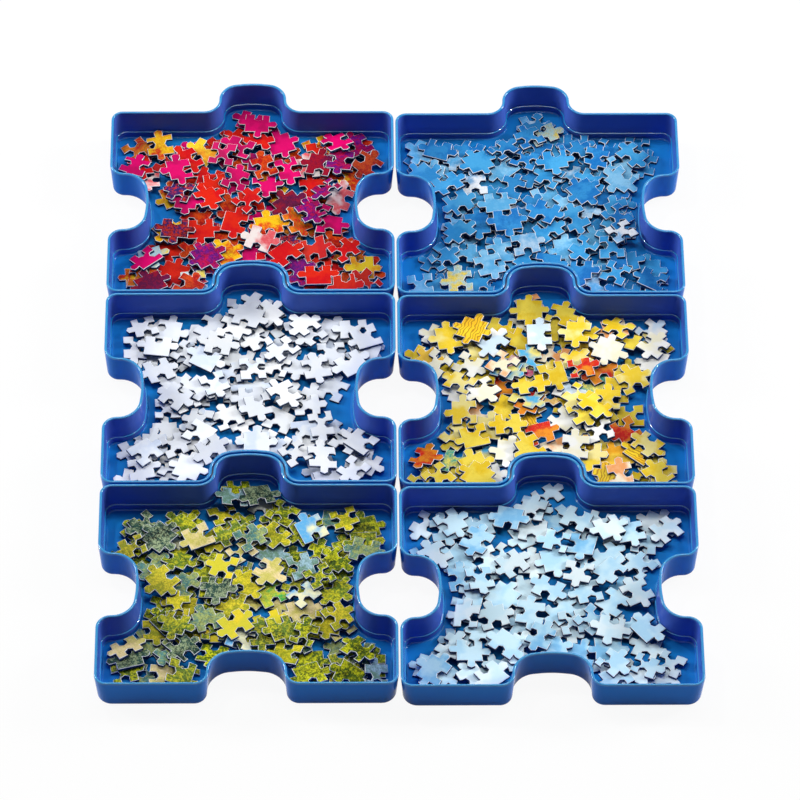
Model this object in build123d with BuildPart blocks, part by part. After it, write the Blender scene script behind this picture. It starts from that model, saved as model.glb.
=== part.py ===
from build123d import *
import os
from math import atan, atan2, degrees, hypot, tan
from random import Random

# A sorter of six equal trays, each shaped like one large jigsaw piece, laid two across and three deep.
# Each tray holds loose jigsaw pieces. X runs across the columns, +Y to the side of the tabs, +Z up.
# The origin is under the middle of the whole set, on the surface that it stands on. All sizes are in mm.

# Tray body, measured at the rim
tray_width = 204.0
tray_length = 168.6
tray_height = 26.5
wall = 2.0
floor_thickness = 2.0
wall_draft = 1.6
rim_corner_radius = 10.0

# Tab at the back, and the notches that take a neighbour's tab
tab_width = 48.6
tab_reach = 27.2
tab_crown = 3.0
tab_crown_radius = 60.0
tab_root_radius = 11.0
tab_side_straight = 0.9
tab_clearance = 0.9
side_notch_shift = -1.4

# Rounding of the moulded edges
rim_round = 0.8
base_round = 2.5
floor_round = 1.0

# Ledge that runs round the wall inside, a little above the floor
ledge_height = 5.3
ledge_width = 0.7

# Layout of the six trays
tray_gap = 1.1
column_step = 2.2
row_names = ["front", "middle", "back"]
column_names = ["left", "right"]

# Loose jigsaw pieces
piece_body = 20.0
piece_thickness = 2.0
knob_radius = 3.0
knob_centre = 1.9
piece_clearance = 0.3
layer_gap = 0.1
layer_fill = [1.0, 0.9, 0.6]
layout_seed = 7
# Each kind lists its four sides in turn: 1 a knob, -1 a socket, 0 the straight edge of a border piece
piece_kinds = [(1, -1, 1, -1), (1, 1, -1, -1), (1, -1, -1, -1), (1, 1, 1, -1), (-1, 1, -1, -1), (0, 1, -1, 1)]

# The notch runs round a neighbour's tab at one even clearance
notch_half_width = tab_width / 2 + tab_clearance
notch_reach = tab_reach + tab_clearance - tray_gap
notch_mouth_radius = tab_root_radius - tab_clearance

# The round at each side of a tab's end fills what its root and its short straight leave
head_turn = atan2(tab_width / 2, tab_crown)
tab_head_radius = (tab_reach - tab_crown - tab_root_radius - tab_side_straight) / tan(head_turn / 2)


def notch_points(inset):
    """Corners and radii of a notch, from its left mouth to its right one, with the drawn-in edge on y = 0."""
    half = notch_half_width + inset
    shoulder = notch_reach - tab_crown
    mouth_round = notch_mouth_radius - inset
    head_round = tab_head_radius + tab_clearance + inset
    crown_round = tab_crown_radius + tab_clearance + inset
    points = [(-half, 0), (-half, shoulder), (0, notch_reach), (half, shoulder), (half, 0)]
    radii = [mouth_round, head_round, crown_round, head_round, mouth_round]
    return points, radii


def tray_outline(inset):
    """The tray's plan, drawn in evenly from the rim's outer edge by the inset."""
    half_width = tray_width / 2 - inset
    half_length = tray_length / 2 - inset
    tab_half = tab_width / 2 - inset
    tab_end = tray_length / 2 + tab_reach - inset
    tab_shoulder = tab_end - tab_crown
    root_round = tab_root_radius + inset
    head_round = tab_head_radius - inset
    crown_round = tab_crown_radius - inset
    corner_round = rim_corner_radius - inset
    notch, notch_radii = notch_points(inset)
    front = [(x, y - half_length) for x, y in notch]
    right = [(half_width - y, x + side_notch_shift) for x, y in notch]
    left = [(y - half_width, side_notch_shift - x) for x, y in notch]
    tab = [
        (tab_half, half_length),
        (tab_half, tab_shoulder),
        (0, tab_end),
        (-tab_half, tab_shoulder),
        (-tab_half, half_length),
    ]
    tab_radii = [root_round, head_round, crown_round, head_round, root_round]
    points = [(-half_width, -half_length), *front, (half_width, -half_length), *right]
    radii = [corner_round, *notch_radii, corner_round, *notch_radii]
    points += [(half_width, half_length), *tab, (-half_width, half_length), *left]
    radii += [corner_round, *tab_radii, corner_round, *notch_radii]
    with BuildSketch() as outline:
        with BuildLine():
            FilletPolyline(*points, radius=radii, close=True)
        make_face()
    return outline.sketch


# Outer body of a tray and the hollow inside it. Their walls lean in from the rim, which keeps its size.
# Below the ledge the hollow is narrower and its walls are upright.
draft_angle = degrees(atan(wall_draft / tray_height))
rim_level = Plane.XY.offset(tray_height)
ledge_level = floor_thickness + ledge_height
well_inset = wall + wall_draft * (1 - ledge_level / tray_height) + ledge_width
rim_plan = tray_outline(0)
with BuildPart() as body:
    with BuildSketch():
        add(rim_plan)
    extrude(amount=tray_height)
    draft(body.faces() - body.faces().filter_by(Axis.Z), rim_level, -draft_angle)
with BuildPart() as hollow:
    with BuildSketch(Plane.XY.offset(ledge_level)):
        add(tray_outline(wall))
    extrude(amount=tray_height - ledge_level)
    draft(hollow.faces() - hollow.faces().filter_by(Axis.Z), rim_level, -draft_angle)
with BuildPart() as well:
    with BuildSketch(Plane.XY.offset(floor_thickness)):
        add(tray_outline(well_inset))
    extrude(amount=ledge_height)
    fillet(well.faces().sort_by(Axis.Z)[0].outer_wire().edges(), floor_round)

# One moulded tray: drafted wall, round rim, rounded base, and the ledge inside above the floor
with BuildPart() as tray_shell:
    add(body.part)
    fillet(tray_shell.faces().sort_by(Axis.Z)[0].outer_wire().edges(), base_round)
    add(hollow.part, mode=Mode.SUBTRACT)
    add(well.part, mode=Mode.SUBTRACT)
    fillet(tray_shell.faces().sort_by(Axis.Z)[-1].edges(), rim_round)
floor_face = tray_shell.faces().filter_by(Axis.Z).group_by(Axis.Z)[1][0]

# Outline of each kind of loose piece, about its own middle
piece_plans = []
for sides in piece_kinds:
    with BuildSketch() as piece_plan:
        Rectangle(piece_body, piece_body)
        for turn, side in enumerate(sides):
            with PolarLocations(piece_body / 2 + side * knob_centre, 1, start_angle=90 * turn):
                if side:
                    Circle(knob_radius, mode=Mode.ADD if side > 0 else Mode.SUBTRACT)
    piece_plans.append(piece_plan.sketch)

# Two pieces this far apart clear each other however they are turned
piece_reach = max(hypot(piece_body, piece_body) / 2, piece_body / 2 + knob_centre + knob_radius)
piece_pitch = 2 * piece_reach + piece_clearance
floor_edge = floor_face.outer_wire()


def layer_places(layer, random):
    """Middles, turns and kinds of one layer's pieces, on a square grid that steps half a pitch each layer."""
    shift = piece_pitch / 2 if layer % 2 else 0
    across = int(tray_width / piece_pitch / 2) + 1
    along = int((tray_length / 2 + tab_reach) / piece_pitch) + 1
    places = []
    for column in range(-across, across + 1):
        for row in range(-along, along + 1):
            x = column * piece_pitch + shift
            y = row * piece_pitch + shift
            turn = random.uniform(0, 360)
            kind = random.randrange(len(piece_kinds))
            kept = random.random() < layer_fill[layer]
            middle = (x, y, floor_thickness)
            inside = floor_face.is_inside(middle)
            clear = inside and floor_edge.distance_to(Vertex(middle)) > piece_reach + piece_clearance
            if kept and clear:
                places.append((x, y, turn, kind))
    return places


# Row spacing, and the middle of the set, which is off the trays' own middles because the tabs reach back
row_pitch = tray_length + tray_gap
column_pitch = tray_width + tray_gap
plan_box = rim_plan.bounding_box()
set_middle_y = (plan_box.min.Y + plan_box.max.Y) / 2

os.makedirs("parts", exist_ok=True)
for row, row_name in enumerate(row_names):
    for column, column_name in enumerate(column_names):
        tray_x = (column - 0.5) * column_pitch
        tray_y = (row - 1) * row_pitch - set_middle_y + (0.5 - column) * column_step
        place_name = f"{row_name}_{column_name}"

        with BuildPart() as tray:
            with Locations((tray_x, tray_y, 0)):
                add(tray_shell.part)
        tray.part.label = f"tray_{place_name}"
        export_step(tray.part, f"parts/{tray.part.label}.step")

        random = Random(layout_seed + row * len(column_names) + column)
        with BuildPart() as pieces:
            for layer in range(len(layer_fill)):
                layer_bottom = floor_thickness + layer * (piece_thickness + layer_gap)
                with BuildSketch(Plane.XY.offset(layer_bottom)):
                    for x, y, turn, kind in layer_places(layer, random):
                        with Locations(Location((tray_x + x, tray_y + y, 0), turn)):
                            add(piece_plans[kind])
                extrude(amount=piece_thickness)
        pieces.part.label = f"pieces_{place_name}"
        export_step(pieces.part, f"parts/{pieces.part.label}.step")
        print(pieces.part.label, len(pieces.part.solids()), "pieces")
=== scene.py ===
import random
from math import atan2, cos, hypot, pi, radians, sin, tan

import bmesh
import bpy
import numpy as np
from mathutils import Matrix, Vector


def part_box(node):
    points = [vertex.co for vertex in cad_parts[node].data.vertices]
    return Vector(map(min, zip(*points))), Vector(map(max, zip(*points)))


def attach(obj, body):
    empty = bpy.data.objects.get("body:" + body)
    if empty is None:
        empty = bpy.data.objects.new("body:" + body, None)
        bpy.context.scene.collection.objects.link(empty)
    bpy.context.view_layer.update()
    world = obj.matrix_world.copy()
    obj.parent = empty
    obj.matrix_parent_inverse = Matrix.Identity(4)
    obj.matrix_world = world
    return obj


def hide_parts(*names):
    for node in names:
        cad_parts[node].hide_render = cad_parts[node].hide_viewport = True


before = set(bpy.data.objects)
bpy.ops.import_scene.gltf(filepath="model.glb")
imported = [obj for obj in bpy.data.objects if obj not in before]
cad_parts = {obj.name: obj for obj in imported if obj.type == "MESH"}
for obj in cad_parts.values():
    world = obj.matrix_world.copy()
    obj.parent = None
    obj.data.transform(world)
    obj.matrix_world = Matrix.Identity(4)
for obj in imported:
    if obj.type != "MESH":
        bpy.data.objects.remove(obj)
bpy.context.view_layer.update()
mm = 0.001
tiny = 1e-6
rowNames = ["front", "middle", "back"]
columnNames = ["left", "right"]
print("frame loaded:", len(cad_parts), "nodes")


# A socket of a node tree, so that shader maths is written as an expression
class Value:
    def __init__(self, socket):
        self.socket = socket
        self.tree = socket.id_data

    def math(self, operation, other, flip=False, clamp=False):
        node = self.tree.nodes.new("ShaderNodeMath")
        node.operation = operation
        node.use_clamp = clamp
        pair = [other, self] if flip else [self, other]
        for place, value in zip(node.inputs, pair):
            feed(place, value)
        return Value(node.outputs[0])

    def __add__(self, other):
        return self.math("ADD", other)

    def __sub__(self, other):
        return self.math("SUBTRACT", other)

    def __rsub__(self, other):
        return self.math("SUBTRACT", other, flip=True)

    def __mul__(self, other):
        return self.math("MULTIPLY", other)

    __radd__ = __add__

    def clamp(self):
        return self.math("ADD", 0.0, clamp=True)


# Links a socket to another one, or sets its value
def feed(place, value):
    if isinstance(value, Value):
        place.id_data.links.new(value.socket, place)
    else:
        place.default_value = value


# A node-based finish. node() takes a type, its settings, then its sockets' values or links
class Finish:
    def __init__(self, name, world=False):
        self.owner = bpy.data.worlds.new(name) if world else bpy.data.materials.new(name)
        self.owner.use_nodes = True
        self.tree = self.owner.node_tree
        self.tree.nodes.clear()

    def node(self, kind, settings, values, output=0):
        node = self.tree.nodes.new(kind)
        for name, setting in settings.items():
            setattr(node, name, setting)
        for name, value in values.items():
            feed(node.inputs[name], value)
        return Value(node.outputs[output])

    def objectPlace(self):
        return self.node("ShaderNodeTexCoord", {}, {}, "Object")

    def attribute(self, name, output="Fac"):
        return self.node("ShaderNodeAttribute", {"attribute_name": name}, {}, output)

    def mixColour(self, factor, first, second, blend="MIX"):
        settings = {"data_type": "RGBA", "blend_type": blend}
        return self.node("ShaderNodeMix", settings, {0: factor, 6: first, 7: second}, 2)

    def noise(self, place, scale, detail, rough=0.5):
        values = {"Vector": place, "Scale": scale, "Detail": detail, "Roughness": rough}
        return self.node("ShaderNodeTexNoise", {}, values)

    def range(self, value, low, high):
        values = {"Value": value, "From Min": low, "From Max": high}
        return self.node("ShaderNodeMapRange", {"interpolation_type": "SMOOTHSTEP"}, values)

    def bump(self, height, strength, distance):
        values = {"Height": height, "Strength": strength, "Distance": distance}
        return self.node("ShaderNodeBump", {}, values)

    def principled(self, values):
        return self.finish(self.node("ShaderNodeBsdfPrincipled", {}, values))

    def finish(self, surface, kind="ShaderNodeOutputMaterial"):
        output = self.tree.nodes.new(kind)
        feed(output.inputs["Surface"], surface)
        return self.owner


# Glossy moulded plastic of the trays. A noise is its scale and detail, a bump its strength and height
plastic = {
    "colour": (0.009, 0.124, 0.57, 1), "paler": (0.011, 0.175, 0.61, 1),
    # The third colour is a paler blue painted on as a highlight along the rims and the ledge and as light on
    # the floor; the fourth is a violet tone painted on the inner walls as their shade
    "edge": (0.012, 0.30, 0.58, 1), "inside": (0.068, 0.145, 0.59, 1),
    "cloud": (22.0, 2.0), "grain": (900.0, 2.0), "waves": (60.0, 1.0),
    "edgeEven": 0.7, "edgeCloud": 0.3, "waveHeight": 0.9, "grainHeight": 0.04, "bump": (0.12, 0.0006),
    "roughness": 0.09, "cloudRoughness": 0.05, "grainRoughness": 0.02, "shine": 0.04,
    "coatRoughness": 0.05, "coatIor": 1.5,
}


def makePlastic():
    look = Finish("trayPlastic")
    place = look.objectPlace()
    cloud = look.noise(place, *plastic["cloud"])
    grain = look.noise(place, *plastic["grain"])
    waves = look.noise(place, *plastic["waves"])
    # Painted highlight on the rims and the ledge, and painted light on the floor, where the mesh marks them
    paintedLightShare = look.attribute("edge") * (cloud * plastic["edgeCloud"] + plastic["edgeEven"])
    colour = look.mixColour(cloud, plastic["colour"], plastic["paler"])
    colour = look.mixColour(paintedLightShare, colour, plastic["edge"])
    # Violet tone on the inner walls: painted shade
    colour = look.mixColour(look.attribute("inside"), colour, plastic["inside"])
    roughness = plastic["roughness"] + cloud * plastic["cloudRoughness"] + grain * plastic["grainRoughness"]
    height = waves * plastic["waveHeight"] + grain * plastic["grainHeight"]
    return look.principled({
        "Base Color": colour, "Roughness": roughness, "Normal": look.bump(height, *plastic["bump"]),
        "Specular IOR Level": plastic["shine"], "Coat Weight": look.attribute("curve"),
        "Coat Roughness": plastic["coatRoughness"], "Coat IOR": plastic["coatIor"],
    })


# Printed face of the puzzle card. A pattern is a noise's scale, detail and roughness, then the range kept
card = {
    "wash": (1.1, 2.0, 0.5, 0.42, 0.58), "strokes": (6.5, 6.0, 0.72, 0.43, 0.57),
    "clouds": (1.5, 2.0, 0.5, 0.44, 0.66), "dots": (15.0, 3.0, 0.7, 0.46, 0.57),
    "strokeMiddle": 0.5, "strokeShare": 2.0, "brightest": 1.1, "dotShade": 0.68, "cloudShade": 0.52,
    "rippleScale": 2.6, "rippleBend": 8.0, "rippleDetail": 1.0, "rippleFineness": 1.3,
    "rippleRange": (0.66, 0.9), "rippleShare": 0.75, "rippleInk": (0.38, 0.15, 0.012, 1),
    "linen": (60.0, 1.0), "bump": (0.15, 0.0002), "roughness": 0.34, "linenRoughness": 0.12, "shine": 0.08,
}


# A piece's two inks, and how much speckle and ripple it shows, come with its mesh
def makePrint():
    look = Finish("printedCard")
    place = look.node("ShaderNodeUVMap", {"uv_map": "print"}, {})
    patterns = {}
    for name in ("wash", "strokes", "clouds", "dots"):
        scale, detail, rough, low, high = card[name]
        patterns[name] = look.range(look.noise(place, scale, detail, rough), low, high)
    speckle = look.attribute("speckle")
    strokes = (patterns["strokes"] - card["strokeMiddle"]) * speckle * card["strokeShare"]
    firstInk = look.attribute("firstInk", "Color")
    secondInk = look.attribute("secondInk", "Color")
    ink = look.mixColour((patterns["wash"] + strokes).clamp(), firstInk, secondInk)
    flecks = patterns["dots"] * card["dotShade"] + patterns["clouds"] * card["cloudShade"]
    shade = (card["brightest"] - flecks * speckle).clamp()
    grey = look.node("ShaderNodeCombineColor", {}, {"Red": shade, "Green": shade, "Blue": shade})
    ink = look.mixColour(1.0, ink, grey, "MULTIPLY")
    values = {"Vector": place, "Scale": card["rippleScale"], "Distortion": card["rippleBend"]}
    values.update({"Detail": card["rippleDetail"], "Detail Scale": card["rippleFineness"]})
    ripples = look.range(look.node("ShaderNodeTexWave", {}, values), *card["rippleRange"])
    ink = look.mixColour(ripples * look.attribute("lined") * card["rippleShare"], ink, card["rippleInk"])
    linen = look.noise(place, *card["linen"])
    return look.principled({
        "Base Color": ink, "Roughness": card["roughness"] + linen * card["linenRoughness"],
        "Normal": look.bump(linen, *card["bump"]), "Specular IOR Level": card["shine"],
    })


# Cut edges and back of the card: each one's colour and its flecks, and the fibres that all of them show
cardSides = {
    # The chamfer ring: the pale paper edge, made whiter as a painted highlight
    "paperEdgeAndHighlight": ((0.90, 0.93, 0.95, 1), (0.80, 0.84, 0.88, 1)),
    # The cut side: dark card, painted nearly black as the shade between the pieces
    "shadedCardCutEdge": ((0.010, 0.025, 0.08, 1), (0.03, 0.055, 0.13, 1)),
    "cardBack": ((0.16, 0.21, 0.30, 1), (0.11, 0.15, 0.22, 1)),
}
fibre = {
    "noise": (1400.0, 3.0), "range": (0.35, 0.65), "bump": (0.3, 0.0002), "roughness": 0.8, "shine": 0.1,
}


def makeCardSide(name, colour, fleck):
    look = Finish(name)
    fibres = look.noise(look.objectPlace(), *fibre["noise"])
    return look.principled({
        "Base Color": look.mixColour(look.range(fibres, *fibre["range"]), colour, fleck),
        "Normal": look.bump(fibres, *fibre["bump"]), "Roughness": fibre["roughness"],
        "Specular IOR Level": fibre["shine"],
    })


trayPlastic = makePlastic()
pieceFinishes = [makePrint()] + [makeCardSide(name, *colours) for name, colours in cardSides.items()]
print("finishes made")

# A tray, in millimetres about its own middle. Its main sizes are those of the frame's tray nodes.
# A ledge row lies so far in from the wall's foot and up from the ledge, and a well row so far in from the
# ledge's own side. Then come its share of painted highlight, its polish, and 1 on the inner wall, which
# takes a painted shade tone
tray = {
    "width": 204.0, "length": 168.6, "height": 26.5, "wall": 2.0, "floor": 2.0, "draft": 1.6,
    "tabWidth": 48.6, "tabReach": 27.2, "tabCrown": 3.0, "crownRadius": 60.0, "rootRadius": 11.0,
    "sideStraight": 0.9, "clearance": 0.9, "gap": 1.1, "notchShift": -1.4,
    "rimCorner": 8.0, "baseCorner": 11.7, "cornerSteps": 9, "roundSteps": 4,
    "baseRound": 2.5, "baseFade": 0.5, "basePolish": 0.5,
    "rimRound": 0.95, "rimFade": 0.4, "rimFootPaintedLight": 0.1, "rimPaintedLightStep": 0.2,
    "ledgeLevel": 7.3, "ledgeWidth": 0.7, "wellLean": 0.05,
    # The ledge rows' third number paints a highlight line along the ledge
    "ledgeRows": [
        (0, 0.9, 0, 0, 1), (0.02, 0.5, 0, 0.5, 0), (0.1, 0.12, 0.3, 1, 0), (0.18, 0.05, 0.6, 1, 0),
        (0.23, 0.02, 1, 1, 0), (0.48, -0.03, 1, 1, 0), (0.54, -0.06, 1, 1, 0), (0.65, -0.25, 0.5, 1, 0),
    ],
    "wellRows": [(0, -0.6, 0, 0.5, 0), (0.02, -0.9, 0, 0, 1)],
    "floorRound": 1.2, "floorFade": 0.4, "floorPolish": 0.3, "floorPaintedLightStep": 0.1,
    "floorInset": 0.8, "floorPaintedLight": 0.45,
}


# Corners of the plan drawn in by the inset, each with the radius that rounds it
def trayCorners(inset, cornerRadius):
    halfWidth = tray["width"] / 2 - inset
    halfLength = tray["length"] / 2 - inset
    tabHalf = tray["tabWidth"] / 2
    turn = atan2(tabHalf, tray["tabCrown"]) / 2
    straight = tray["tabReach"] - tray["tabCrown"] - tray["rootRadius"] - tray["sideStraight"]
    headRadius = straight / tan(turn)
    notchHalf = tabHalf + tray["clearance"] + inset
    notchEnd = tray["tabReach"] + tray["clearance"] - tray["gap"]
    notchShoulder = notchEnd - tray["tabCrown"]
    mouth = tray["rootRadius"] - tray["clearance"] - inset
    notchHead = headRadius + tray["clearance"] + inset
    notchCrown = tray["crownRadius"] + tray["clearance"] + inset
    notch = [
        (-notchHalf, 0, mouth), (-notchHalf, notchShoulder, notchHead), (0, notchEnd, notchCrown),
        (notchHalf, notchShoulder, notchHead), (notchHalf, 0, mouth),
    ]
    shift = tray["notchShift"]
    tabEnd = tray["length"] / 2 + tray["tabReach"] - inset
    tabShoulder = tabEnd - tray["tabCrown"]
    tabSide = tabHalf - inset
    root = tray["rootRadius"] + inset
    return [
        (-halfWidth, -halfLength, cornerRadius),
        *[(x, y - halfLength, radius) for x, y, radius in notch],
        (halfWidth, -halfLength, cornerRadius),
        *[(halfWidth - y, x + shift, radius) for x, y, radius in notch],
        (halfWidth, halfLength, cornerRadius),
        (tabSide, halfLength, root),
        (tabSide, tabShoulder, headRadius - inset),
        (0, tabEnd, tray["crownRadius"] - inset),
        (-tabSide, tabShoulder, headRadius - inset),
        (-tabSide, halfLength, root),
        (-halfWidth, halfLength, cornerRadius),
        *[(y - halfWidth, shift - x, radius) for x, y, radius in notch],
    ]


# One ring of the tray's section: the corners as a face, rounded by bevels
def addRing(bm, inset, level, cornerRadius):
    corners = trayCorners(inset, cornerRadius)
    verts = [bm.verts.new((x, y, level)) for x, y, radius in corners]
    bm.faces.new(verts)
    for index, (x, y, radius) in enumerate(corners):
        before = Vector(corners[index - 1][:2]) - Vector((x, y))
        after = Vector(corners[(index + 1) % len(corners)][:2]) - Vector((x, y))
        reach = radius * tan((pi - before.angle(after)) / 2)
        bmesh.ops.bevel(
            bm, geom=[verts[index]], offset=reach, offset_type="OFFSET", segments=tray["cornerSteps"],
            profile=0.5, affect="VERTICES", material=-1, clamp_overlap=False,
        )
    rounded = [f for f in bm.faces if len(f.verts) > len(corners)]
    return next(f for f in rounded if abs(f.verts[0].co.z - level) < tiny)


# Section of a tray from the underside out, up the wall, over the rim and down to the floor inside.
# A row is its inset, its level and its three marks: its share of painted highlight (painted light on the
# floor), its polish, and 1 on the inner wall for its painted shade tone
def traySection():
    high, wall, rim, base = tray["height"], tray["wall"], tray["rimRound"], tray["baseRound"]
    quarter = [radians(90 / tray["roundSteps"] * step) for step in range(tray["roundSteps"] + 1)]

    def lean(level):
        return tray["draft"] * (1 - level / high)

    section = []
    for angle in quarter:
        level = base * (1 - cos(angle))
        section.append((lean(level) + base * (1 - sin(angle)), level, 0, tray["basePolish"], 0))
    level = base + tray["baseFade"]
    section.append((lean(level), level, 0, 0, 0))

    # The rim rows grow paler towards the top of the rim: a painted highlight
    top = lean(high - rim)
    rimFoot = high - rim - tray["rimFade"]
    section.append((lean(rimFoot), rimFoot, tray["rimFootPaintedLight"], 0, 0))
    for step, angle in enumerate(quarter, 1):
        inset = top + rim * (1 - cos(angle))
        section.append((inset, high - rim * (1 - sin(angle)), step * tray["rimPaintedLightStep"], 1, 0))
    for step, angle in enumerate(reversed(quarter)):
        inset = wall + top - rim * (1 - cos(angle))
        section.append((inset, high - rim * (1 - sin(angle)), 1 - step * tray["rimPaintedLightStep"], 1, 0))
    # The inner wall's rows, down to the floor, carry 1 for the painted shade tone
    section.append((wall + lean(rimFoot), rimFoot, 0, 0, 1))

    ledge = tray["ledgeLevel"]
    side = wall + lean(ledge)
    section += [(side + inwards, ledge + up, *marks) for inwards, up, *marks in tray["ledgeRows"]]
    side += tray["ledgeWidth"]
    section += [(side + inwards, ledge + up, *marks) for inwards, up, *marks in tray["wellRows"]]

    side += tray["wellLean"]
    curve = tray["floorRound"]
    section.append((side, tray["floor"] + curve + tray["floorFade"], 0, 0, 1))
    # The floor's round grows paler towards the floor: painted light
    for step, angle in enumerate(quarter):
        level = tray["floor"] + curve * (1 - sin(angle))
        paintedLightShare = step * tray["floorPaintedLightStep"]
        section.append((side + curve * (1 - cos(angle)), level, paintedLightShare, tray["floorPolish"], 0))
    return section


def makeTrayMesh():
    bm = bmesh.new()
    names = ("edge", "curve", "inside")
    edgeMark, curveMark, insideShadeMark = [bm.verts.layers.float.new(name) for name in names]
    section = traySection()
    last = None
    for index, (inset, level, paintedLightShare, polish, inside) in enumerate(section):
        share = 1 - min(level / tray["height"], 1.0)
        corner = tray["rimCorner"] + (tray["baseCorner"] - tray["rimCorner"]) * share - inset
        face = addRing(bm, inset, level, corner)
        for vert in face.verts:
            vert[edgeMark], vert[curveMark], vert[insideShadeMark] = paintedLightShare, polish, inside
        edges = list(face.edges)
        if index not in (0, len(section) - 1):
            bmesh.ops.delete(bm, geom=[face], context="FACES_ONLY")
        if last:
            band = bmesh.ops.bridge_loops(bm, edges=last + edges)
            for side in band["faces"]:
                side.smooth = True
        last = edges
    bmesh.ops.inset_region(bm, faces=[face], thickness=tray["floorInset"], use_even_offset=True)
    # The flat floor is painted paler, as painted light from above
    for vert in face.verts:
        vert[edgeMark], vert[curveMark] = tray["floorPaintedLight"], 0
    bmesh.ops.recalc_face_normals(bm, faces=bm.faces)
    bmesh.ops.scale(bm, vec=(mm, mm, mm), verts=bm.verts)
    mesh = bpy.data.meshes.new("trayMesh")
    bm.to_mesh(mesh)
    bm.free()
    mesh.materials.append(trayPlastic)
    return mesh


trayMesh = makeTrayMesh()
print("tray mesh:", len(trayMesh.polygons), "faces")

trayPlaces = {}
for rowName in rowNames:
    for columnName in columnNames:
        place = f"{rowName}_{columnName}"
        low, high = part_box(f"tray_{place}")
        trayPlaces[place] = Vector(((low.x + high.x) / 2, low.y + tray["length"] / 2 * mm, 0))
        mesh = trayMesh.copy()
        mesh.transform(Matrix.Translation(trayPlaces[place]))
        shell = bpy.data.objects.new(f"shell_{place}", mesh)
        bpy.context.scene.collection.objects.link(shell)
        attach(shell, place)
        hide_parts(f"tray_{place}")
print("trays placed:", len(trayPlaces))

# Loose pieces, in millimetres
piece = {
    "body": 17.6, "bodyChange": 1.5, "cornerChange": 0.7, "thickness": 2.0, "chamfer": 0.28,
    "knobRadius": 3.1, "knobReach": 2.95, "knobChange": (0.9, 1.12), "knobWide": 1.06, "knobLong": 0.9,
    "knobTurns": (-120, -62, 0, 62, 120), "knobShift": 1.3, "knobLean": 0.6,
    "neck": 1.55, "neckChange": (0.85, 1.15), "shoulder": 1.1, "bow": (-0.55, 0.35),
    "printSize": 20, "kinds": 24, "seed": 11,
}
# A kind's four sides in turn: 1 a knob, -1 a socket, 0 the straight side of a border piece
sideKinds = [
    (1, -1, 1, -1), (1, -1, 1, -1), (1, 1, -1, -1), (1, -1, -1, -1), (1, 1, 1, -1), (-1, -1, 1, -1),
    (1, 1, 1, 1), (0, 1, -1, 1), (1, 0, -1, -1), (-1, -1, -1, -1), (1, 1, -1, 1),
]
# Place of each finish in a piece's mesh
faceFinish, rimFinish, sideFinish, backFinish = range(len(pieceFinishes))


# Outline of one side from its first corner to its second, as (along, out) points
def sidePoints(length, kind, rng):
    if kind == 0:
        return [(0, 0)]
    centre = length / 2 + rng.uniform(-piece["knobShift"], piece["knobShift"])
    radius = piece["knobRadius"] * rng.uniform(*piece["knobChange"])
    reach = piece["knobReach"] * rng.uniform(*piece["knobChange"])
    neck = piece["neck"] * rng.uniform(*piece["neckChange"])
    head = centre + rng.uniform(-piece["knobLean"], piece["knobLean"])
    bows = [rng.uniform(*piece["bow"]) for end in range(2)]
    points = [(0, 0), (centre - neck - piece["shoulder"], bows[0])]
    for angle in piece["knobTurns"]:
        across = radius * piece["knobWide"] * sin(radians(angle))
        points.append((head + across, reach + radius * piece["knobLong"] * cos(radians(angle))))
    points.append((centre + neck + piece["shoulder"], bows[1]))
    return [(along, kind * out) for along, out in points]


def pieceOutline(kinds, rng):
    halves = [(piece["body"] + rng.uniform(-1, 1) * piece["bodyChange"]) / 2 for axis in range(2)]
    corners = []
    for x, y in ((-1, -1), (1, -1), (1, 1), (-1, 1)):
        shift = [rng.uniform(-1, 1) * piece["cornerChange"] for axis in range(2)]
        corners.append(Vector((x * halves[0] + shift[0], y * halves[1] + shift[1])))
    outline = []
    for index, kind in enumerate(kinds):
        start = corners[index]
        end = corners[(index + 1) % len(corners)]
        along = (end - start).normalized()
        out = Vector((along.y, -along.x))
        for distance, reach in sidePoints((end - start).length, kind, rng):
            outline.append(start + along * distance + out * reach)
    return outline


# A kind of piece: printed face up, chamfered paper edge whitened as a painted highlight, cut side darkened
# as painted shade, grey back
def makePieceKind(index, rng):
    outline = pieceOutline(sideKinds[index % len(sideKinds)], rng)
    bm = bmesh.new()
    chamfer = piece["chamfer"]
    bottom = bm.faces.new([bm.verts.new((p.x, p.y, 0)) for p in reversed(outline)])
    raised = bmesh.ops.extrude_face_region(bm, geom=[bottom], use_keep_orig=True)
    top = next(part for part in raised["geom"] if isinstance(part, bmesh.types.BMFace))
    bmesh.ops.translate(bm, vec=(0, 0, piece["thickness"] - chamfer), verts=top.verts)
    bmesh.ops.recalc_face_normals(bm, faces=bm.faces)
    ring = bmesh.ops.inset_region(bm, faces=[top], thickness=chamfer, depth=chamfer, use_even_offset=True)
    for face in bm.faces:
        face.material_index = rimFinish if face in ring["faces"] else sideFinish
    top.material_index = faceFinish
    bottom.material_index = backFinish
    bmesh.ops.scale(bm, vec=(mm, mm, mm), verts=bm.verts)
    printSize = piece["printSize"] * mm
    layer = bm.loops.layers.uv.new("print")
    for face in bm.faces:
        for loop in face.loops:
            loop[layer].uv = (loop.vert.co.x / printSize, loop.vert.co.y / printSize)
    mesh = bpy.data.meshes.new(f"pieceKind{index}")
    bm.to_mesh(mesh)
    bm.free()
    return mesh, np.array([(p.x, p.y) for p in outline])


kindRandom = random.Random(piece["seed"])
pieceKinds = [makePieceKind(index, kindRandom) for index in range(piece["kinds"])]
print("piece kinds:", len(pieceKinds), "with", len(pieceKinds[0][0].polygons), "faces each")

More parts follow.
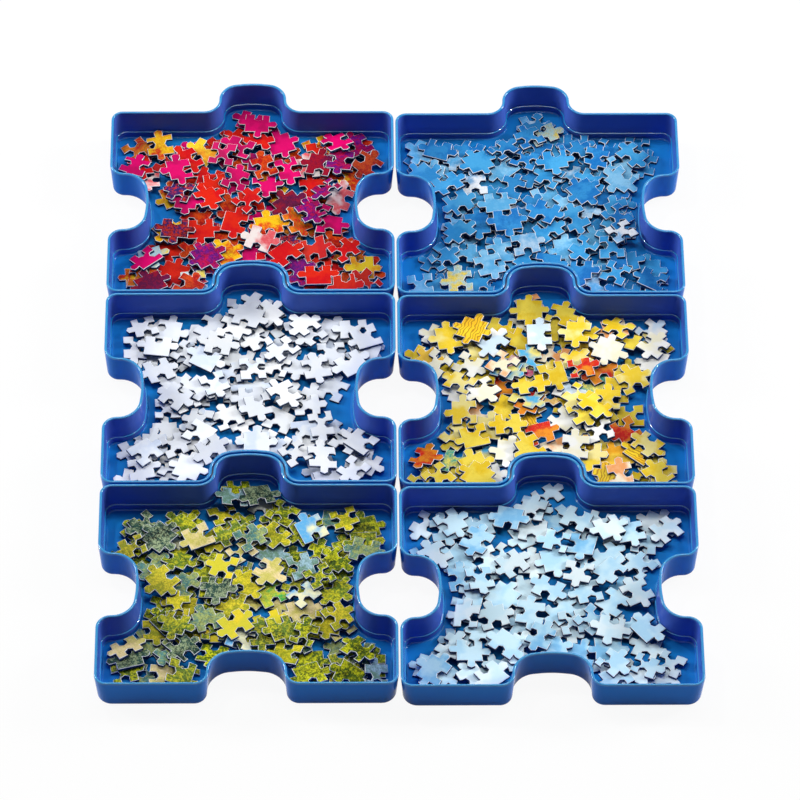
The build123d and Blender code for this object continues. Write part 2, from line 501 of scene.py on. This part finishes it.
# How the pieces are dropped, in millimetres, on a grid of heights. Each lies at the cheapest of a few tries,
# and one in toWall lies by the wall. A try costs more near the back and the sides: from where, over what
# distance, and how much
drop = {
    "cell": 1.3, "wallGap": 4.8, "ledgeGap": 3.8, "outside": 99.0, "tooHigh": 60, "airGap": 0.03,
    "margin": 1.02, "tries": 30, "best": 3, "swaps": 24, "close": 1e-3, "held": -1e-9,
    "luck": 0.8, "toWall": 4, "wallPull": 14, "bareBack": (66, 18, 1.2), "bareSides": (88, 12, 0.3),
}


def insidePolygon(x, y, polygon):
    inside = np.zeros(x.shape, bool)
    ends = np.roll(polygon, -1, axis=0)
    for (x0, y0), (x1, y1) in zip(polygon, ends):
        crosses = (y0 > y) != (y1 > y)
        if y1 != y0:
            inside ^= crosses & (x < (x1 - x0) * (y - y0) / (y1 - y0) + x0)
    return inside


# The worst point takes one support's place, so that the piece's middle still lies between the three
def swapSupport(x, y, supports, worst):
    for leave in range(3):
        kept = [supports[k] for k in range(3) if k != leave] + [worst]
        corners = np.array([[x[i], y[i], 1.0] for i in kept])
        if abs(np.linalg.det(corners)) < tiny:
            continue
        shares = np.linalg.solve(corners.T, [0.0, 0.0, 1.0])
        if shares.min() >= drop["held"]:
            return kept
    return None


# Lowest plane over the points (x, y, height) at the middle of the piece, by swapping supports
def restPlane(x, y, height):
    angle = np.arctan2(y, x)
    distance = np.hypot(x, y)
    supports = []
    for start in (-pi, -pi / 3, pi / 3):
        sector = np.where((angle >= start) & (angle < start + 2 * pi / 3))[0]
        if len(sector) == 0:
            return None
        supports.append(sector[np.argmax(distance[sector])])
    for swap in range(drop["swaps"]):
        rows = np.array([[x[i], y[i], 1.0] for i in supports])
        if abs(np.linalg.det(rows)) < tiny:
            return None
        plane = np.linalg.solve(rows, height[supports])
        over = height - (plane[0] * x + plane[1] * y + plane[2])
        worst = int(np.argmax(over))
        if over[worst] < drop["close"]:
            return plane
        supports = swapSupport(x, y, supports, worst)
        if supports is None:
            return None
    return None


# A little more floor shows by the back wall and in the back corners
def bareCost(x, y):
    cost = 0.0
    for distance, (start, over, price) in ((y, drop["bareBack"]), (abs(x), drop["bareSides"])):
        cost += max(0.0, (distance - start) / over) * price
    return cost


def layHeap(seed, steepest, count):
    rng = random.Random(seed)
    cell = drop["cell"]
    lowX, lowY = -tray["width"] / 2, -tray["length"] / 2
    highX, highY = tray["width"] / 2, tray["length"] / 2 + tray["tabReach"]
    gridX, gridY = np.meshgrid(np.arange(lowX, highX, cell), np.arange(lowY, highY, cell), indexing="ij")
    # The ledge stands a step above the floor, and nothing may lie outside the wall
    heights = np.full(gridX.shape, drop["outside"])
    for gap, level in ((drop["ledgeGap"], tray["ledgeLevel"]), (drop["wallGap"], tray["floor"])):
        bm = bmesh.new()
        face = addRing(bm, gap, 0, tray["baseCorner"] - gap)
        plan = np.array([vert.co[:2] for vert in face.verts])
        bm.free()
        heights = np.where(insidePolygon(gridX, gridY, plan), level, heights)
    planLow, planHigh = plan.min(axis=0), plan.max(axis=0)
    laid = []
    while len(laid) < count:
        chances = []
        for attempt in range(drop["tries"]):
            kind = rng.randrange(len(pieceKinds))
            turn = rng.uniform(0, 2 * pi)
            spun = pieceKinds[kind][1] @ np.array([[cos(turn), sin(turn)], [-sin(turn), cos(turn)]])
            above, below = spun.max(axis=0) + cell, cell - spun.min(axis=0)
            x = rng.uniform(planLow[0] + below[0], planHigh[0] - above[0])
            y = rng.uniform(planLow[1] + below[1], planHigh[1] - above[1])
            i, j = int((x - lowX) / cell), int((y - lowY) / cell)
            x, y = gridX[i, j], gridY[i, j]
            before, after = (below / cell).astype(int) + 1, (above / cell).astype(int) + 2
            window = (slice(i - before[0], i + after[0]), slice(j - before[1], j + after[1]))
            localX, localY = gridX[window] - x, gridY[window] - y
            under = insidePolygon(localX, localY, spun * drop["margin"])
            ground = heights[window][under]
            if ground.max() < drop["tooHigh"]:
                cost = ground.max() + ground.mean() + bareCost(x, y) + rng.uniform(0, drop["luck"])
                if len(laid) % drop["toWall"] == 0:
                    cost = ground.mean() - drop["wallPull"] * (heights[window] > drop["tooHigh"]).mean()
                chances.append((cost, attempt, (kind, turn, x, y), (window, under, localX, localY)))
        for cost, attempt, spot, (window, under, localX, localY) in sorted(chances)[:drop["best"]]:
            plane = restPlane(localX[under], localY[under], heights[window][under])
            if plane is None or hypot(plane[0], plane[1]) > steepest:
                continue
            thick = piece["thickness"] * hypot(1.0, hypot(plane[0], plane[1])) + drop["airGap"]
            top = plane[0] * localX + plane[1] * localY + plane[2] + thick
            heights[window] = np.where(under, top, heights[window])
            laid.append((*spot, plane))
            break
    return laid


# Inks of each tray's pieces: how often, first ink, second ink, speckle, and 1 where ripples are printed
inks = {
    "back_left": [
        (5, (0.60, 0.004, 0.008), (0.68, 0.018, 0.005), 0.2, 0),
        (3, (0.72, 0.002, 0.14), (0.50, 0.002, 0.10), 0.1, 0),
        (2, (0.70, 0.07, 0.005), (0.50, 0.008, 0.005), 0.5, 0),
        (1.3, (0.90, 0.52, 0.01), (0.66, 0.03, 0.01), 0.3, 0),
        (1.6, (0.34, 0.003, 0.02), (0.12, 0.002, 0.05), 0.4, 0),
        (1.6, (0.16, 0.006, 0.22), (0.52, 0.004, 0.08), 0.6, 0),
        (0.5, (0.94, 0.84, 0.80), (0.80, 0.10, 0.12), 0.1, 0),
        (1.0, (0.82, 0.24, 0.01), (0.60, 0.02, 0.01), 0.2, 1),
        (0.8, (0.04, 0.02, 0.16), (0.62, 0.03, 0.02), 0.9, 0),
        (0.8, (0.92, 0.66, 0.02), (0.84, 0.30, 0.01), 0.2, 0),
        (0.3, (0.40, 0.66, 0.84), (0.90, 0.70, 0.10), 0.2, 0),
    ],
    "back_right": [
        (6, (0.025, 0.25, 0.58), (0.06, 0.35, 0.68), 0.15, 0),
        (5, (0.01, 0.15, 0.46), (0.03, 0.25, 0.58), 0.2, 0),
        (3, (0.10, 0.40, 0.72), (0.24, 0.54, 0.80), 0.2, 0),
        (1.4, (0.42, 0.62, 0.82), (0.10, 0.38, 0.70), 0.2, 0),
        (0.5, (0.80, 0.84, 0.90), (0.22, 0.46, 0.76), 0.2, 0),
        (0.2, (0.80, 0.62, 0.10), (0.40, 0.62, 0.66), 0.4, 0),
    ],
    "middle_left": [
        (7, (0.84, 0.88, 0.94), (0.79, 0.84, 0.93), 0.06, 0),
        (4, (0.90, 0.92, 0.94), (0.86, 0.90, 0.94), 0.04, 0),
        (2.5, (0.65, 0.74, 0.90), (0.82, 0.87, 0.93), 0.08, 0),
    ],
    "middle_right": [
        (8, (0.86, 0.58, 0.02), (0.92, 0.72, 0.08), 0.15, 0),
        (3.5, (0.92, 0.80, 0.30), (0.88, 0.62, 0.03), 0.1, 0),
        (1.4, (0.84, 0.48, 0.02), (0.88, 0.62, 0.03), 0.1, 1),
        (1.0, (0.86, 0.36, 0.12), (0.94, 0.84, 0.60), 0.1, 0),
        (2.6, (0.94, 0.94, 0.88), (0.92, 0.88, 0.64), 0.06, 0),
        (1.2, (0.70, 0.02, 0.015), (0.86, 0.30, 0.02), 0.2, 0),
        (1.4, (0.66, 0.82, 0.94), (0.94, 0.94, 0.90), 0.06, 0),
        (0.4, (0.34, 0.10, 0.04), (0.90, 0.60, 0.20), 0.3, 0),
        (0.8, (0.08, 0.44, 0.76), (0.88, 0.76, 0.20), 0.1, 0),
        (0.4, (0.80, 0.04, 0.22), (0.92, 0.84, 0.70), 0.3, 0),
        (0.4, (0.06, 0.40, 0.30), (0.90, 0.78, 0.14), 0.3, 0),
        (0.8, (0.90, 0.40, 0.02), (0.90, 0.56, 0.05), 0.2, 0),
    ],
    "front_left": [
        (6, (0.66, 0.68, 0.015), (0.09, 0.16, 0.012), 0.8, 0),
        (4, (0.16, 0.26, 0.03), (0.68, 0.66, 0.03), 0.8, 0),
        (2.4, (0.80, 0.68, 0.03), (0.40, 0.42, 0.02), 0.6, 0),
        (2.6, (0.10, 0.26, 0.24), (0.40, 0.48, 0.16), 0.6, 0),
        (1.6, (0.34, 0.54, 0.62), (0.16, 0.30, 0.22), 0.5, 0),
        (1.4, (0.92, 0.72, 0.03), (0.72, 0.66, 0.04), 0.2, 0),
        (2.4, (0.90, 0.74, 0.38), (0.66, 0.60, 0.14), 0.3, 0),
        (0.8, (0.92, 0.94, 0.88), (0.84, 0.80, 0.16), 0.2, 0),
        (1.6, (0.03, 0.09, 0.07), (0.36, 0.46, 0.26), 0.9, 0),
        (0.3, (0.05, 0.50, 0.10), (0.62, 0.64, 0.05), 0.4, 0),
        (0.2, (0.70, 0.03, 0.30), (0.60, 0.58, 0.20), 0.3, 0),
        (0.6, (0.12, 0.44, 0.78), (0.92, 0.90, 0.56), 0.1, 0),
    ],
    "front_right": [
        (6, (0.44, 0.73, 0.93), (0.60, 0.84, 0.96), 0.1, 0),
        (5, (0.62, 0.85, 0.96), (0.76, 0.91, 0.97), 0.06, 0),
        (2.5, (0.80, 0.93, 0.97), (0.64, 0.86, 0.96), 0.06, 0),
        (3.5, (0.22, 0.54, 0.84), (0.46, 0.75, 0.93), 0.12, 0),
    ],
}
# Seed of each tray's heap, how steeply a piece may lie in it, and how many lie there
heaps = {
    "front_left": (4, 0.36, 112), "front_right": (9, 0.16, 88), "middle_left": (5, 0.17, 98),
    "middle_right": (6, 0.28, 108), "back_left": (7, 0.36, 112), "back_right": (8, 0.2, 108),
}
# How the prints differ from piece to piece
printing = {"seedStep": 101, "brightness": (0.82, 1.06), "shift": (-40, 40)}


# The laid pieces as one mesh, and how many faces and face corners each has
def joinPieces(laid, place):
    bm = bmesh.new()
    faceCounts = []
    cornerCounts = []
    for kind, turn, x, y, plane in laid:
        mesh = pieceKinds[kind][0]
        started = len(bm.verts)
        bm.from_mesh(mesh)
        bm.verts.ensure_lookup_table()
        up = Vector((-plane[0], -plane[1], 1)).normalized()
        tilt = Vector((0, 0, 1)).rotation_difference(up).to_matrix().to_4x4()
        middle = trayPlaces[place] + Vector((x, y, plane[2])) * mm
        matrix = Matrix.Translation(middle) @ tilt @ Matrix.Rotation(turn, 4, "Z")
        bmesh.ops.transform(bm, matrix=matrix, verts=bm.verts[started:])
        faceCounts.append(len(mesh.polygons))
        cornerCounts.append(len(mesh.loops))
    joined = bpy.data.meshes.new(f"heap_{place}")
    bm.to_mesh(joined)
    bm.free()
    return joined, faceCounts, cornerCounts


# Gives each piece its inks, its brightness, its speckle, its ripples and its own part of the patterns
def printPieces(mesh, palette, faceCounts, cornerCounts, rng):
    chosen = rng.choices(palette, weights=[entry[0] for entry in palette], k=len(faceCounts))
    flips = [rng.random() < 0.5 for entry in chosen]
    first = np.array([[*(entry[2] if flip else entry[1]), 1] for entry, flip in zip(chosen, flips)])
    second = np.array([[*(entry[1] if flip else entry[2]), 1] for entry, flip in zip(chosen, flips)])
    change = np.array([rng.uniform(*printing["brightness"]) for entry in chosen])[:, None]
    for name, colours in (("firstInk", first * change), ("secondInk", second * change)):
        layer = mesh.attributes.new(name, "FLOAT_COLOR", "FACE")
        layer.data.foreach_set("color", np.repeat(colours, faceCounts, axis=0).ravel())
    for name, column in (("speckle", 3), ("lined", 4)):
        layer = mesh.attributes.new(name, "FLOAT", "FACE")
        layer.data.foreach_set("value", np.repeat([float(entry[column]) for entry in chosen], faceCounts))
    shifts = [(rng.uniform(*printing["shift"]), rng.uniform(*printing["shift"])) for entry in chosen]
    uv = np.zeros(len(mesh.loops) * 2)
    mesh.uv_layers["print"].data.foreach_get("uv", uv)
    moved = uv + np.repeat(np.array(shifts), cornerCounts, axis=0).ravel()
    mesh.uv_layers["print"].data.foreach_set("uv", moved)


def makeHeap(place):
    seed, steepest, count = heaps[place]
    laid = layHeap(seed, steepest, count)
    mesh, faceCounts, cornerCounts = joinPieces(laid, place)
    rng = random.Random(seed * printing["seedStep"])
    printPieces(mesh, inks[place], faceCounts, cornerCounts, rng)
    for finish in pieceFinishes:
        mesh.materials.append(finish)
    heap = bpy.data.objects.new(f"loose_{place}", mesh)
    bpy.context.scene.collection.objects.link(heap)
    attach(heap, place)
    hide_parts(f"pieces_{place}")
    top = max(vert.co.z for vert in mesh.vertices) / mm
    print("heap", place, len(laid), "pieces,", len(mesh.polygons), "faces, top at", round(top, 1), "mm")


for place in trayPlaces:
    makeHeap(place)

# Floor that is white to the camera and keeps the trays' shadow, and the soft light round it
stage = {"half": 4.0, "matt": (0.85, 0.85, 0.85, 1), "white": (1, 1, 1, 1), "whiteness": 0.93, "light": 0.06}


# 1 where the camera sees it, straight, in a reflection or through glass
def seenByCamera(look):
    outputs = ("Is Camera Ray", "Is Glossy Ray", "Is Transmission Ray")
    camera, glossy, transmission = [look.node("ShaderNodeLightPath", {}, {}, output) for output in outputs]
    return (camera + glossy + transmission).clamp()


def makeFloor():
    bm = bmesh.new()
    bmesh.ops.create_grid(bm, x_segments=1, y_segments=1, size=stage["half"])
    mesh = bpy.data.meshes.new("floor")
    bm.to_mesh(mesh)
    bm.free()
    look = Finish("whiteFloor")
    matt = look.node("ShaderNodeBsdfDiffuse", {}, {"Color": stage["matt"]})
    bright = look.node("ShaderNodeEmission", {}, {"Color": stage["white"], "Strength": 1.0})
    share = seenByCamera(look) * stage["whiteness"]
    mesh.materials.append(look.finish(look.node("ShaderNodeMixShader", {}, {0: share, 1: matt, 2: bright})))
    floor = bpy.data.objects.new("floor", mesh)
    bpy.context.scene.collection.objects.link(floor)


# World: even soft light, and plain white where the camera or a reflection sees it
def makeWorld():
    look = Finish("softWorld", world=True)
    strength = stage["light"] + seenByCamera(look) * (1.0 - stage["light"])
    glow = look.node("ShaderNodeBackground", {}, {"Color": stage["white"], "Strength": strength})
    bpy.context.scene.world = look.finish(glow, "ShaderNodeOutputWorld")


makeFloor()
makeWorld()

# Soft lamps: place and size in metres, and power. All of them look at the middle of the trays
lamps = {
    "overhead": ((0.1, 0.5, 1.88), (1.0, 0.5), 10.8),
    "leftPanel": ((-1.9, 0.6, 0.95), (0.7, 0.6), 32),
    "rightPanel": ((1.9, 0.6, 0.95), (0.7, 0.6), 37),
    "leftSpark": ((-0.9, 0.9, 2.0), (0.09, 0.09), 12),
    "rightSpark": ((1.0, 0.7, 1.9), (0.09, 0.09), 6),
}


def makeLamp(name, place, size, power):
    data = bpy.data.lights.new(name, "AREA")
    data.shape = "RECTANGLE"
    data.size, data.size_y = size
    data.energy = power
    lamp = bpy.data.objects.new(name, data)
    lamp.location = place
    lamp.rotation_euler = (-Vector(place)).to_track_quat("-Z", "Y").to_euler()
    bpy.context.scene.collection.objects.link(lamp)


for name, settings in lamps.items():
    makeLamp(name, *settings)
print("floor, world and lamps made")

# Camera at the photograph's place, in degrees, metres and pixels of an 800 pixel frame
view = {
    "pitch": 51.75, "yaw": 0.91, "roll": 0.58, "target": (0.00234, -0.00428, 0.0),
    "distance": 3.91822, "focalPixels": 5594.59, "frame": 800, "sensor": 36.0, "farthest": 30,
}


def makeCamera():
    data = bpy.data.cameras.new("photoView")
    data.sensor_width = view["sensor"]
    data.lens = view["focalPixels"] * view["sensor"] / view["frame"]
    data.clip_end = view["farthest"]
    pitch, yaw, roll = radians(view["pitch"]), radians(view["yaw"]), radians(view["roll"])
    ahead = Vector((sin(yaw) * cos(pitch), cos(yaw) * cos(pitch), -sin(pitch)))
    right = Vector((cos(yaw), -sin(yaw), 0))
    up = right.cross(ahead)
    rolledRight = right * cos(roll) + up * sin(roll)
    rolledUp = up * cos(roll) - right * sin(roll)
    rotation = Matrix((rolledRight, rolledUp, -ahead)).transposed().to_4x4()
    camera = bpy.data.objects.new("photoView", data)
    camera.matrix_world = Matrix.Translation(Vector(view["target"]) - ahead * view["distance"]) @ rotation
    bpy.context.scene.collection.objects.link(camera)
    bpy.context.scene.camera = camera


makeCamera()
bpy.context.scene.view_settings.view_transform = "Standard"
